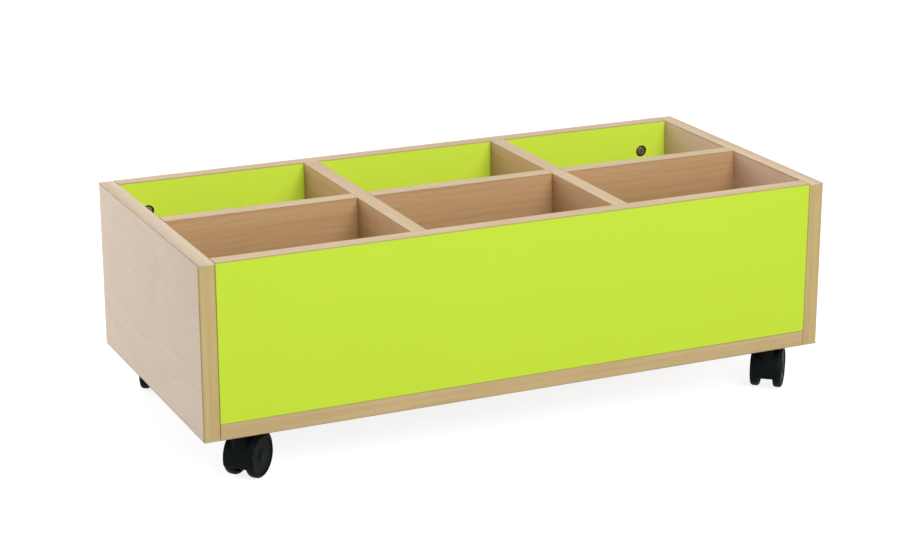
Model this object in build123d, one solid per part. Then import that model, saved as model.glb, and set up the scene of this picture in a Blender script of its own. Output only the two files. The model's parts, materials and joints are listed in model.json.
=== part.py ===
from build123d import *
import os
from math import cos, radians, sin

# Picture book browser bin: an open box with six compartments on four swivel casters.
# Frame: origin on the floor, under the middle of the box; +X along the length, +Y to the rear,
# +Z up. The front faces -Y. All sizes are in millimetres.

# ------------------------------------------------------------------ driving sizes of the box
LENGTH = 770.0           # overall, along X
DEPTH = 360.0            # overall, along Y
BOX_HEIGHT = 200.0       # from the bottom board's underside to the rim
BOARD = 19.0             # thickness of every board
BAND = 2.0               # edge bands of the end panels and the bottom board
ARRIS = 1.5              # rounding of those bands' outer arrises
THIN_BAND = 0.8          # edge bands on top of the front and rear panels and the dividers
THIN_ARRIS = 0.5
HALVING_CLEARANCE = 0.15  # on each side of a divider in the other divider's slot
FITTING_CLEARANCE = 0.1   # around dowels, cams, bolts and screws in their holes

# ------------------------------------------------------------------ knock-down fittings
CAM_DIAMETER = 15.0
CAM_BELOW = 4.5          # length of the cam past its bolt's centre line, in the board's middle
CAM_SETBACK = 34.0       # from the board's end to the cam's centre
CAM_EDGE = 37.0          # from a panel's long edge to the cam's centre
CAM_RECESS = 6.0         # span of the cross recess in the cam's face
BOARD_CAM_INSET = 100.0  # cams under the bottom board, from the front or rear face
BOLT_HEAD = 7.0          # ball head that the cam pulls on
BOLT_SHAFT = 7.0
BOLT_NECK = 4.0
BOLT_THREAD = 5.0
BOLT_GRIP = 11.0         # threaded length in the end panel
DOWEL_DIAMETER = 8.0
DOWEL_IN_EDGE = 17.0     # length in a board's edge
DOWEL_IN_FACE = 12.0     # length in a board's face
BOARD_DOWEL_INSET = 68.0  # dowels in the bottom board's ends, from the front or rear face
DIVIDER_DOWEL_EDGE = 45.0  # from a divider's top and bottom to its dowels
SCREW_DIAMETER = 5.0
SCREW_HEAD = 9.0
SCREW_LENGTH = 50.0
LONG_SCREW_INSET = 126.0  # screws into panels and long divider, from the end panel's inner face
CROSS_SCREW_INSET = 76.0  # screws into the cross dividers, from the front or rear panel's inner face
RECESS_WIDTH = 1.2       # width of the bars of a cross recess
RECESS_DEPTH = 2.2

# ------------------------------------------------------------------ casters
CASTER_INSET_X = 50.0    # from the box's end to the swivel axis
CASTER_INSET_Y = 29.0    # from the front or rear face to the swivel axis
PLATE_SIDE = 38.0
PLATE = 2.0              # plate thickness
PLATE_CORNER = 4.0
PLATE_HOLE_INSET = 5.0   # from the plate's edge to its screw holes
CASTER_SCREW = 4.0       # screw diameter
CASTER_SCREW_HEAD = 7.6
CASTER_SCREW_HEAD_HEIGHT = 2.4
CASTER_SCREW_GRIP = 13.0  # length in the bottom board
KINGPIN = 8.0
KINGPIN_RISE = 11.0      # from the axle up to the kingpin's foot
KINGPIN_LIP = 1.0        # how far the foot that keeps the hood on stands out from the pin
KINGPIN_FOOT_HEIGHT = 2.0
WASHER = 1.2
WASHER_SETBACK = 0.5     # from the neck's edge
TRAIL = 17.0             # swivel axis to axle
WHEEL_DIAMETER = 50.0
WHEEL_WIDTH = 10.8
WHEEL_SHOULDER = 3.5     # rounding of the tread's edges
WHEEL_DISH = 1.2         # depth of the dished outer face
WHEEL_RIM = 4.0          # radial width of the rim around the dish
WHEEL_HUB = 14.0         # diameter of the hub boss
WHEEL_WEB = 3.0          # thickness of the wheel's disc behind the dish
WHEEL_RIB = 1.6
WHEEL_RIBS = 8
AXLE = 6.0
WEB_WALL = 2.3           # web on each side of the kingpin's foot
WEB_GAP = 0.9            # between the hood's web and each wheel
WEB_CLEARANCE = 9.0      # web's lowest point above the floor
HOOD_GAP = 1.2           # between the wheels' treads and the hood's shell
HOOD_SHELL = 2.4         # thickness of the hood's shell
HOOD_SETBACK = 3.0       # from the wheels' outer faces
HOOD_HEADROOM = 5.4      # between the hood's shell and the plate, for screw heads and washer
HOOD_EDGE = 1.2          # rounding of the hood's outer edges
HOOD_FRONT_DROP = 14.0   # degrees that the hood's front reaches below the axle
HOOD_REAR_RISE = 9.0    # degrees above the axle where the hood's shell ends at the rear
NECK_WALL = 5.0          # wall of the hood's neck around the kingpin
HOOD_NECK_FOOT = 8.0     # level of the neck's foot above the axle
RUNNING_CLEARANCE = 0.05  # radial, axle in wheel and kingpin in hood
END_PLAY = 0.15          # axial play on each side of the swivel washer

# each caster's side along X and Y, and the direction its wheels trail in, in degrees from +X
CASTERS = {
    "front_left": (-1, -1, 41.0),
    "front_right": (1, -1, 51.0),
    "rear_left": (-1, 1, 64.0),
    "rear_right": (1, 1, 56.0),
}

# ------------------------------------------------------------------ levels and planes
WHEEL_RADIUS = WHEEL_DIAMETER / 2
HOOD_INNER = WHEEL_RADIUS + HOOD_GAP
HOOD_OUTER = HOOD_INNER + HOOD_SHELL
PLATE_UNDER = WHEEL_RADIUS + HOOD_OUTER + HOOD_HEADROOM
CASTER_HEIGHT = PLATE_UNDER + PLATE
PLATE_HOLES = PLATE_SIDE - 2 * PLATE_HOLE_INSET  # spacing of the four screw holes
HOOD_TOP = PLATE_UNDER - WASHER - 2 * END_PLAY
KINGPIN_LOW = WHEEL_RADIUS + KINGPIN_RISE
KINGPIN_FOOT = KINGPIN + 2 * KINGPIN_LIP
HOOD_NECK = KINGPIN + 2 * NECK_WALL
WEB_HALF = KINGPIN_FOOT / 2 + WEB_WALL
WHEELS_OVERALL = 2 * (WEB_HALF + WEB_GAP + WHEEL_WIDTH)
HOOD_WIDTH = WHEELS_OVERALL - 2 * HOOD_SETBACK
BOX_BOTTOM = CASTER_HEIGHT
FLOOR_TOP = BOX_BOTTOM + BOARD            # upper face of the bottom board
RIM = BOX_BOTTOM + BOX_HEIGHT
FLOOR_MIDDLE = BOX_BOTTOM + BOARD / 2
PANEL_HEIGHT = RIM - FLOOR_TOP            # panels and dividers stand on the bottom board
HALVING = FLOOR_TOP + PANEL_HEIGHT / 2    # level where the halved dividers meet
INNER_X = LENGTH / 2 - BOARD              # inner face of an end panel
INNER_Y = DEPTH / 2 - BOARD               # inner face of the front or rear panel
END_MIDDLE = LENGTH / 2 - BOARD / 2
PANEL_MIDDLE = DEPTH / 2 - BOARD / 2
CELL = (LENGTH - 4 * BOARD) / 3           # length of one compartment
CROSS_X = CELL / 2 + BOARD / 2            # middle of a cross divider
CORE_TOP = RIM - BAND                     # top of an end panel's core
PANEL_TOP = RIM - THIN_BAND               # top of a panel's or divider's core
SIDES = {"left": -1, "right": 1}


def block(x_span, y_span, z_span):
    """A rectangular block between the given pairs of coordinates."""
    low = Vector(x_span[0], y_span[0], z_span[0])
    high = Vector(x_span[1], y_span[1], z_span[1])
    size = high - low
    return Pos((low + high) / 2) * Box(size.X, size.Y, size.Z)


def rod(radius, start, end):
    """A round rod along Z between two levels."""
    return Pos(0, 0, (start + end) / 2) * Cylinder(radius, end - start)


def seen_from(point, mouth, across):
    """A location whose +Z is the direction mouth and whose +X is the direction across."""
    return Plane(origin=point, x_dir=across, z_dir=mouth).location


def band(length, round_ends=False, thickness=BAND, arris=ARRIS):
    """An edge band along X, lying on Z = 0, with its outer arrises rounded."""
    strip = Pos(0, 0, thickness / 2) * Box(length, BOARD, thickness)
    outer = strip.faces().sort_by(Axis.Z)[-1]
    arrises = outer.edges() if round_ends else outer.edges().filter_by(Axis.X)
    return fillet(arrises, arris)


def thin_band(length):
    return band(length, thickness=THIN_BAND, arris=THIN_ARRIS)


def cross_recess(span, depth):
    """Cutter for a cross recess that opens towards +Z at Z = 0."""
    bar = Box(span, RECESS_WIDTH, depth)
    return Pos(0, 0, -depth / 2) * (bar + Rot(0, 0, 90) * bar)


# ------------------------------------------------------------------ fittings, each in its own frame
def cam_housing():
    """Cam with its bolt's centre line at Z = 0, mouth up, bolt towards +X.

    The bolt's head enters through the bore along +Y; turning the cam closes the slot over its neck.
    """
    face = BOARD / 2
    head = BOLT_HEAD / 2 + FITTING_CLEARANCE
    neck = BOLT_NECK / 2 + FITTING_CLEARANCE
    drum = rod(CAM_DIAMETER / 2 - FITTING_CLEARANCE, -CAM_BELOW, face)
    entry = Rot(-90, 0, 0) * rod(head, 0, CAM_DIAMETER)
    slot = Cylinder(CAM_DIAMETER, 2 * neck, arc_size=90) + Rot(0, 90, 0) * rod(neck, 0, CAM_DIAMETER)
    recess = Pos(0, 0, face) * cross_recess(CAM_RECESS, RECESS_DEPTH)
    return drum - Sphere(head) - entry - slot - recess


def cam_bolt():
    """Bolt from the cam's centre out to the end panel along +X."""
    head = Sphere(BOLT_HEAD / 2)
    neck = rod(BOLT_NECK / 2, 0, CAM_DIAMETER / 2)
    shaft = rod(BOLT_SHAFT / 2, CAM_DIAMETER / 2, CAM_SETBACK)
    thread = rod(BOLT_THREAD / 2, CAM_SETBACK, CAM_SETBACK + BOLT_GRIP)
    return head + Rot(0, 90, 0) * (neck + shaft + thread)


def cam_hole():
    """Bores for a cam and its bolt in the board that the cam sits in."""
    face = BOARD / 2
    seat = rod(CAM_DIAMETER / 2, -CAM_BELOW - FITTING_CLEARANCE, face)
    way = rod(BOLT_SHAFT / 2 + FITTING_CLEARANCE, 0, CAM_SETBACK)
    return seat + Rot(0, 90, 0) * way


def bolt_hole():
    """Bore for the bolt's thread in the end panel."""
    reach = CAM_SETBACK + BOLT_GRIP + FITTING_CLEARANCE
    return Rot(0, 90, 0) * rod(BOLT_THREAD / 2 + FITTING_CLEARANCE, CAM_SETBACK, reach)


def dowel(extra=0.0):
    """Dowel across a joint at Z = 0, its longer half below; extra enlarges it to its hole."""
    return rod(DOWEL_DIAMETER / 2 + extra, -DOWEL_IN_EDGE - extra, DOWEL_IN_FACE + extra)


def assembly_screw():
    """Countersunk screw upwards from Z = 0."""
    head_height = (SCREW_HEAD - SCREW_DIAMETER) / 2
    head = Pos(0, 0, head_height / 2) * Cone(SCREW_HEAD / 2, SCREW_DIAMETER / 2, head_height)
    shank = rod(SCREW_DIAMETER / 2, 0, SCREW_LENGTH)
    return head + shank - Rot(180, 0, 0) * cross_recess(SCREW_DIAMETER, RECESS_DEPTH)


def screw_hole():
    """Countersunk hole for an assembly screw."""
    rim = SCREW_HEAD / 2 + FITTING_CLEARANCE
    bore = SCREW_DIAMETER / 2 + FITTING_CLEARANCE
    sink = Pos(0, 0, (rim - bore) / 2) * Cone(rim, bore, rim - bore)
    return sink + rod(bore, 0, SCREW_LENGTH + FITTING_CLEARANCE)


def cam_places():
    """(board, end side, location) of each cam: two per end of each panel and of the bottom board."""
    places = []
    for side in SIDES:
        out = SIDES[side]
        x = out * (INNER_X - CAM_SETBACK)
        for panel, facing in (("front_panel", 1), ("rear_panel", -1)):
            for z in (FLOOR_TOP + CAM_EDGE, RIM - CAM_EDGE):
                spot = (x, -facing * PANEL_MIDDLE, z)
                places.append((panel, side, seen_from(spot, (0, facing, 0), (out, 0, 0))))
        for y in (BOARD_CAM_INSET - DEPTH / 2, DEPTH / 2 - BOARD_CAM_INSET):
            spot = (x, y, FLOOR_MIDDLE)
            places.append(("bottom_board", side, seen_from(spot, (0, 0, -1), (out, 0, 0))))
    return places


def dowel_places():
    """(board with the edge hole, board with the face hole, location) of each dowel."""
    places = []
    outer_y = DEPTH / 2 - BOARD_DOWEL_INSET
    levels = (FLOOR_TOP + DIVIDER_DOWEL_EDGE, RIM - DIVIDER_DOWEL_EDGE)
    for side in SIDES:
        out = SIDES[side]
        end = side + "_end_panel"
        joints = [("bottom_board", y, FLOOR_MIDDLE) for y in (-outer_y, 0, outer_y)]
        joints += [("front_panel", -PANEL_MIDDLE, HALVING), ("rear_panel", PANEL_MIDDLE, HALVING)]
        joints += [("long_divider", 0, z) for z in levels]
        for board, y, z in joints:
            place = seen_from((out * INNER_X, y, z), (out, 0, 0), (0, 1, 0))
            places.append((board, end, place))
        for panel, facing in (("front_panel", -1), ("rear_panel", 1)):
            for z in levels:
                spot = (out * CROSS_X, facing * INNER_Y, z)
                place = seen_from(spot, (0, facing, 0), (1, 0, 0))
                places.append(("cross_divider_" + side, panel, place))
    return places


def screw_places():
    """(board above the bottom board, location) of each assembly screw."""
    places = []
    outer_x = INNER_X - LONG_SCREW_INSET
    outer_y = INNER_Y - CROSS_SCREW_INSET
    along = {"front_panel": -PANEL_MIDDLE, "rear_panel": PANEL_MIDDLE, "long_divider": 0}
    for x in (-outer_x, 0, outer_x):
        places += [(board, Pos(x, y, BOX_BOTTOM)) for board, y in along.items()]
    for side in SIDES:
        for y in (-outer_y, outer_y):
            places.append(("cross_divider_" + side, Pos(SIDES[side] * CROSS_X, y, BOX_BOTTOM)))
    return places


# ------------------------------------------------------------------ boards and their edge bands
def board_blocks():
    """Each board's core before drilling, without its edge bands."""
    inside_x = (-INNER_X, INNER_X)
    between_bands = (-DEPTH / 2 + BAND, DEPTH / 2 - BAND)
    core = {
        "bottom_board": block(inside_x, between_bands, (BOX_BOTTOM, FLOOR_TOP)),
        "front_panel": block(inside_x, (-DEPTH / 2, -INNER_Y), (FLOOR_TOP, PANEL_TOP)),
        "rear_panel": block(inside_x, (INNER_Y, DEPTH / 2), (FLOOR_TOP, PANEL_TOP)),
        "long_divider": block(inside_x, (-BOARD / 2, BOARD / 2), (FLOOR_TOP, PANEL_TOP)),
    }
    for side, out in SIDES.items():
        near, far = sorted((out * INNER_X, out * LENGTH / 2))
        core[side + "_end_panel"] = block((near, far), between_bands, (BOX_BOTTOM + BAND, CORE_TOP))
        across = (out * CROSS_X - BOARD / 2, out * CROSS_X + BOARD / 2)
        core["cross_divider_" + side] = block(across, (-INNER_Y, INNER_Y), (FLOOR_TOP, PANEL_TOP))
    return core


def halving_slots():
    """Slots of the halved dividers: the long one open at the top, the cross ones at the bottom."""
    half = BOARD / 2 + HALVING_CLEARANCE
    past = BOARD
    high = (HALVING - HALVING_CLEARANCE, RIM + past)
    low = (FLOOR_TOP - past, HALVING + HALVING_CLEARANCE)
    slots = {}
    for side, out in SIDES.items():
        middle = out * CROSS_X
        upper = block((middle - half, middle + half), (-past, past), high)
        lower = block((middle - past, middle + past), (-half, half), low)
        slots[side] = (upper, lower)
    return slots


def edge_bands():
    """Each board's bands, as lists of strips."""
    down = Rot(180, 0, 0)
    bands = {}
    for side, out in SIDES.items():
        x = out * END_MIDDLE
        long_strip = Rot(0, 0, 90) * band(DEPTH, round_ends=True)
        upright = band(BOX_HEIGHT - 2 * BAND)
        middle_z = BOX_BOTTOM + BOX_HEIGHT / 2
        bands[side + "_end_bands"] = [
            Pos(x, 0, CORE_TOP) * long_strip,
            Pos(x, 0, BOX_BOTTOM + BAND) * down * long_strip,
            seen_from((x, -DEPTH / 2 + BAND, middle_z), (0, -1, 0), (0, 0, 1)) * upright,
            seen_from((x, DEPTH / 2 - BAND, middle_z), (0, 1, 0), (0, 0, 1)) * upright,
        ]
        cross_strip = Rot(0, 0, 90) * thin_band(2 * INNER_Y)
        bands["cross_divider_" + side + "_band"] = [Pos(out * CROSS_X, 0, PANEL_TOP) * cross_strip]
    inside = band(2 * INNER_X)
    bands["bottom_board_bands"] = [
        seen_from((0, -DEPTH / 2 + BAND, FLOOR_MIDDLE), (0, -1, 0), (1, 0, 0)) * inside,
        seen_from((0, DEPTH / 2 - BAND, FLOOR_MIDDLE), (0, 1, 0), (1, 0, 0)) * inside,
    ]
    on_top = thin_band(2 * INNER_X)
    bands["front_panel_band"] = [Pos(0, -PANEL_MIDDLE, PANEL_TOP) * on_top]
    bands["rear_panel_band"] = [Pos(0, PANEL_MIDDLE, PANEL_TOP) * on_top]
    outer = INNER_X - CROSS_X - BOARD / 2 - HALVING_CLEARANCE
    outer_x = INNER_X - outer / 2
    lengths = {-outer_x: outer, 0: CELL - 2 * HALVING_CLEARANCE, outer_x: outer}
    bands["long_divider_bands"] = [Pos(x, 0, PANEL_TOP) * thin_band(lengths[x]) for x in lengths]
    return bands


def box_parts():
    """All fixed pieces above the casters, by name."""
    boards = board_blocks()
    cams, bolts, dowels, screws = [], [], [], []
    for board, side, place in cam_places():
        boards[board] -= place * cam_hole()
        boards[side + "_end_panel"] -= place * bolt_hole()
        cams.append(place * cam_housing())
        bolts.append(place * cam_bolt())
    for edge_board, face_board, place in dowel_places():
        hole = place * dowel(FITTING_CLEARANCE)
        boards[edge_board] -= hole
        boards[face_board] -= hole
        dowels.append(place * dowel())
    for board, place in screw_places():
        boards["bottom_board"] -= place * screw_hole()
        boards[board] -= place * screw_hole()
        screws.append(place * assembly_screw())
    for side, (upper, lower) in halving_slots().items():
        boards["long_divider"] -= upper
        boards["cross_divider_" + side] -= lower
    for name in CASTERS:
        for place in caster_screw_places(name):
            boards["bottom_board"] -= place * caster_screw(FITTING_CLEARANCE)
    parts = {name: [board] for name, board in boards.items()}
    parts.update(edge_bands())
    parts.update(cam_housings=cams, cam_bolts=bolts, dowels=dowels, assembly_screws=screws)
    return parts


# ------------------------------------------------------------------ casters
# Each caster is made with its swivel axis on Z and its wheels trailing towards +X.
def caster_place(name):
    """Location of a caster's swivel axis on the floor, turned as it stands."""
    side, facing, heading = CASTERS[name]
    x = side * (LENGTH / 2 - CASTER_INSET_X)
    y = facing * (DEPTH / 2 - CASTER_INSET_Y)
    return Pos(x, y, 0), Rot(0, 0, heading)


def across_axle(shape):
    """Turns a shape that was made along Z so that it lies along the axle."""
    return Pos(TRAIL, 0, WHEEL_RADIUS) * Rot(90, 0, 0) * shape


def caster_screw(extra=0.0):
    """Pan-head screw upwards through the plate; extra enlarges its shank to the pilot hole."""
    tip = CASTER_HEIGHT + CASTER_SCREW_GRIP + extra
    shank = rod(CASTER_SCREW / 2 + extra, PLATE_UNDER, tip)
    if extra:
        return shank
    head = rod(CASTER_SCREW_HEAD / 2, PLATE_UNDER - CASTER_SCREW_HEAD_HEIGHT, PLATE_UNDER)
    rim = head.edges().group_by(Axis.Z)[0]
    head = fillet(rim, CASTER_SCREW_HEAD_HEIGHT / 2)
    recess = Pos(0, 0, PLATE_UNDER - CASTER_SCREW_HEAD_HEIGHT) * Rot(180, 0, 0)
    return head + shank - recess * cross_recess(CASTER_SCREW, CASTER_SCREW_HEAD_HEIGHT / 2)


def caster_screw_places(name):
    """The four screws of one caster's plate; the plate stays square to the box."""
    place, _ = caster_place(name)
    half = PLATE_HOLES / 2
    return [place * Pos(x, y, 0) for x in (-half, half) for y in (-half, half)]


def caster_plate():
    """Square plate with four screw holes and the kingpin's hole."""
    sheet = extrude(RectangleRounded(PLATE_SIDE, PLATE_SIDE, PLATE_CORNER), PLATE)
    holes = GridLocations(PLATE_HOLES, PLATE_HOLES, 2, 2)
    sheet -= [hole * rod(CASTER_SCREW / 2 + FITTING_CLEARANCE, 0, PLATE) for hole in holes]
    sheet -= rod(KINGPIN / 2 + FITTING_CLEARANCE, 0, PLATE)
    return Pos(0, 0, PLATE_UNDER) * sheet


def caster_kingpin():
    """Pin riveted in the plate, with a wider foot under the hood's web."""
    foot = rod(KINGPIN_FOOT / 2, KINGPIN_LOW, KINGPIN_LOW + KINGPIN_FOOT_HEIGHT)
    return foot + rod(KINGPIN / 2, KINGPIN_LOW, CASTER_HEIGHT)


def caster_washer():
    """Plain swivel bearing between the plate and the hood's neck."""
    ring = rod(HOOD_NECK / 2 - WASHER_SETBACK, HOOD_TOP + END_PLAY, PLATE_UNDER - END_PLAY)
    return ring - rod(KINGPIN / 2 + FITTING_CLEARANCE, HOOD_TOP, PLATE_UNDER)


def caster_hood():
    """Hood over both wheels, with the web that carries the axle and the neck around the kingpin."""
    start, end = HOOD_REAR_RISE, 180 + HOOD_FRONT_DROP
    shell = Cylinder(HOOD_OUTER, HOOD_WIDTH) - Cylinder(HOOD_INNER, HOOD_WIDTH)
    reach = 2 * HOOD_OUTER
    corners = [(0, 0)] + [(reach * cos(radians(a)), reach * sin(radians(a)))
                          for a in (start, (start + end) / 2, end)]
    sector = extrude(make_face(Polyline(*corners, close=True)), HOOD_WIDTH / 2, both=True)
    shell = shell & sector
    outer = shell.faces().filter_by(GeomType.CYLINDER).sort_by(SortBy.AREA)[-1]
    shell = fillet(outer.edges().filter_by(GeomType.CIRCLE), HOOD_EDGE)
    web = Cylinder(HOOD_INNER, 2 * WEB_HALF) & sector
    web += Cylinder(WHEEL_RADIUS - WEB_CLEARANCE, 2 * WEB_HALF)
    hood = Pos(TRAIL, 0, WHEEL_RADIUS) * Rot(90, 0, 0) * (shell + web)
    neck = rod(HOOD_NECK / 2, WHEEL_RADIUS + HOOD_NECK_FOOT, HOOD_TOP)
    hood += neck - across_axle(Cylinder(HOOD_INNER, HOOD_WIDTH))
    seat = KINGPIN_LOW + KINGPIN_FOOT_HEIGHT + END_PLAY
    hood -= rod(KINGPIN / 2 + RUNNING_CLEARANCE, seat, CASTER_HEIGHT)
    hood -= rod(KINGPIN_FOOT / 2 + END_PLAY, 0, seat)
    return hood - across_axle(Cylinder(AXLE / 2 + RUNNING_CLEARANCE, HOOD_WIDTH))


def caster_wheel(side):
    """Wheel on one side of the web, dished outside and ribbed inside."""
    half = WHEEL_WIDTH / 2
    wheel = Cylinder(WHEEL_RADIUS, WHEEL_WIDTH)
    wheel = fillet(wheel.edges().filter_by(GeomType.CIRCLE), WHEEL_SHOULDER)
    inner_rim = WHEEL_RADIUS - WHEEL_RIM
    dish = rod(inner_rim, half - WHEEL_DISH, half) - rod(WHEEL_HUB / 2, half - WHEEL_DISH, half)
    floor = half - WHEEL_DISH - WHEEL_WEB
    pocket = rod(inner_rim, -half, floor) - rod(WHEEL_HUB / 2, -half, floor)
    spoke = Pos(inner_rim / 2, 0, 0) * Box(inner_rim, WHEEL_RIB, 2 * WHEEL_WIDTH)
    pocket -= [Rot(0, 0, 360 * i / WHEEL_RIBS) * spoke for i in range(WHEEL_RIBS)]
    wheel = wheel - dish - pocket
    wheel -= rod(AXLE / 2 + RUNNING_CLEARANCE, -half, half - WHEEL_WEB)
    turned = wheel if side < 0 else Rot(180, 0, 0) * wheel
    return across_axle(Pos(0, 0, -side * (WHEELS_OVERALL / 2 - half)) * turned)


def caster_axle():
    """Axle through the web into both wheels."""
    return across_axle(Cylinder(AXLE / 2, WHEELS_OVERALL - 2 * WHEEL_WEB - 2 * END_PLAY))


def caster_parts():
    """All pieces of the four casters, by name."""
    parts = {}
    fixed = {"plate": caster_plate(), "kingpin": caster_kingpin(), "washer": caster_washer()}
    swivelling = {"hood": caster_hood(), "axle": caster_axle(),
                  "wheel_left": caster_wheel(1), "wheel_right": caster_wheel(-1)}
    screws = []
    for name in CASTERS:
        place, turn = caster_place(name)
        for piece, shape in fixed.items():
            parts[f"caster_{name}_{piece}"] = [place * shape]
        for piece, shape in swivelling.items():
            parts[f"caster_{name}_{piece}"] = [place * turn * shape]
        screws += [spot * caster_screw() for spot in caster_screw_places(name)]
    parts["caster_screws"] = screws
    return parts


os.makedirs("parts", exist_ok=True)
for node, shapes in {**box_parts(), **caster_parts()}.items():
    solids = [solid for shape in shapes for solid in shape.solids()]
    export_step(Compound(children=solids), f"parts/{node}.step")
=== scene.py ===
# %% [markdown]
# # A picture book browser bin in Blender
# This lesson dresses a finished construction model of a low nursery bin: six compartments, beech and lime
# boards, four hooded casters. The construction model arrives as a fixed frame and is never moved. Blender
# adds what a drawing office leaves out: the finishes, the moulded roundings, the screw heads and the light.

# %% Load the frame
import json
import math

import bmesh
import bpy
from mathutils import Matrix, Vector


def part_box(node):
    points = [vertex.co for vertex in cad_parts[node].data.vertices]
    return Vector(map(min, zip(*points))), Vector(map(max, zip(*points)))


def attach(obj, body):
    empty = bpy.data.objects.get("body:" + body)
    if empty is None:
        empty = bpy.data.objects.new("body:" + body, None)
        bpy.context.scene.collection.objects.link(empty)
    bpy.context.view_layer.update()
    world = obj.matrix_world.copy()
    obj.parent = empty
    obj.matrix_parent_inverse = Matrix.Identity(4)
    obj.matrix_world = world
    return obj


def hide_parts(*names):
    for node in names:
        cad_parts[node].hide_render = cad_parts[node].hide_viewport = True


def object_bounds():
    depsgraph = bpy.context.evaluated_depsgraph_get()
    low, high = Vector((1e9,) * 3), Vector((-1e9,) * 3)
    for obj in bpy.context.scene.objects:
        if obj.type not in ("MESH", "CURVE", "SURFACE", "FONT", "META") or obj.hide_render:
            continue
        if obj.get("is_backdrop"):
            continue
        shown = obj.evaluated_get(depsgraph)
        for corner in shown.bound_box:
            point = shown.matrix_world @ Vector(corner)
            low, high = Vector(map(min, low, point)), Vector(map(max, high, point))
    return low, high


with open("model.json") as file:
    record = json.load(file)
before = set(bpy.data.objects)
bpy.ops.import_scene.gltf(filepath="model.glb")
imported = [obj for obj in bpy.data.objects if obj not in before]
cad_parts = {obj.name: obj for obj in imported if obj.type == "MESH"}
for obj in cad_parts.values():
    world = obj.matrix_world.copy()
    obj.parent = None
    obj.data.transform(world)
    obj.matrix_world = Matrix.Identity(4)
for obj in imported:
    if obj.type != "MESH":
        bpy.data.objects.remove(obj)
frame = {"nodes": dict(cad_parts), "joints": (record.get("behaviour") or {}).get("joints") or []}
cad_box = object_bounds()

nodes = frame["nodes"]
LOW, HIGH = cad_box
print("box in mm:", [round(1000 * side) for side in HIGH - LOW])

# %% [markdown]
# ## Sizes
# Everything is in metres and in the frame's own axes: +X along the bin, +Y to its rear, +Z up. The sizes of the
# boards and bands and the places of all pieces are read off the frame, so that a screw head sits where the
# construction put its screw. The sizes of wheels, screws and cams are written again with their recipes.

# %% Sizes
MM = 0.001
WELD = 0.002 * MM             # points nearer than this are one
INNER_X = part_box("front_panel")[1].x
FLOOR_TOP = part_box("bottom_board")[1].z
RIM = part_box("left_end_bands")[1].z
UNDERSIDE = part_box("bottom_board")[0].z
HALF_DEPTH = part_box("left_end_bands")[1].y
HALF_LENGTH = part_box("right_end_bands")[1].x
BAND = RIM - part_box("left_end_panel")[1].z
THIN_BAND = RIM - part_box("front_panel")[1].z
CASTERS = ("front_left", "front_right", "rear_left", "rear_right")
JOINTS = {joint["name"]: joint for joint in frame["joints"]}
print("rim at", round(RIM / MM), "mm, underside at", round(UNDERSIDE / MM), "mm")
print("edge bands of", round(BAND / MM, 1), "and", round(THIN_BAND / MM, 1), "mm")

# %% [markdown]
# ## Camera and studio
# The bin stands in a plain white studio. A long lens from about three metres, a little above the rim and to
# the left, keeps the uprights nearly parallel. The floor is a real floor, so that it can hold a soft contact
# shadow, but rays from the camera find it white: a Light Path node tells it which rays those are. Seen from
# below, the floor lets the camera look through, because the underside of a bin deserves a look as well.

# %% Camera
IMAGE_WIDTH = 900
FOCAL_PIXELS = 2345.5
SENSOR = 36.0
CAMERA_PLACE = Vector((-1.1161, -2.4085, 0.9915))
CAMERA_YAW = math.radians(24.59)      # to the right of straight at the bin's front
CAMERA_PITCH = math.radians(17.70)    # downwards
CAMERA_ROLL = math.radians(-0.12)

lens = bpy.data.cameras.new("studio_lens")
lens.sensor_width = SENSOR
lens.lens = FOCAL_PIXELS / IMAGE_WIDTH * SENSOR
camera = bpy.data.objects.new("studio_camera", lens)
bpy.context.scene.collection.objects.link(camera)
upright = Matrix.Rotation(-CAMERA_YAW, 4, "Z") @ Matrix.Rotation(math.pi / 2 - CAMERA_PITCH, 4, "X")
camera.matrix_world = Matrix.Translation(CAMERA_PLACE) @ upright @ Matrix.Rotation(CAMERA_ROLL, 4, "Z")
bpy.context.scene.camera = camera
bpy.context.scene.view_settings.view_transform = "Standard"
print("lens", round(lens.lens, 1), "mm at", round(CAMERA_PLACE.length, 2), "m from the bin")

# %% [markdown]
# ## A bench for node trees
# Shader trees and geometry trees are both written here as Python expressions. A `Wire` is the output of a
# node: sums written on wires add Math nodes, so `1 - mask` is a wire too. A `Bench` holds one tree and has
# the one method that puts a node on it, first with its settings and then with its sockets.

# %% Wires and benches
class Wire:
    """An output socket on which sums can be written."""

    def __init__(self, bench, node, socket):
        self.bench, self.node, self.socket = bench, node, socket

    def __getitem__(self, name):
        return Wire(self.bench, self.node, self.node.outputs[name])

    def __add__(self, other):
        return self.bench.math("ADD", self, other)

    def __sub__(self, other):
        return self.bench.math("SUBTRACT", self, other)

    def __rsub__(self, other):
        return self.bench.math("SUBTRACT", other, self)

    def __mul__(self, other):
        return self.bench.math("MULTIPLY", self, other)

    def __truediv__(self, other):
        return self.bench.math("DIVIDE", self, other)

    def __rtruediv__(self, other):
        return self.bench.math("DIVIDE", other, self)

    def __pow__(self, other):
        return self.bench.math("POWER", self, other)

    def __gt__(self, other):
        return self.bench.math("GREATER_THAN", self, other)

    def __lt__(self, other):
        return self.bench.math("LESS_THAN", self, other)

    def __neg__(self):
        return self.bench.math("MULTIPLY", self, -1.0)

    def __abs__(self):
        return self.bench.math("ABSOLUTE", self)

    __radd__ = __add__
    __rmul__ = __mul__


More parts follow.
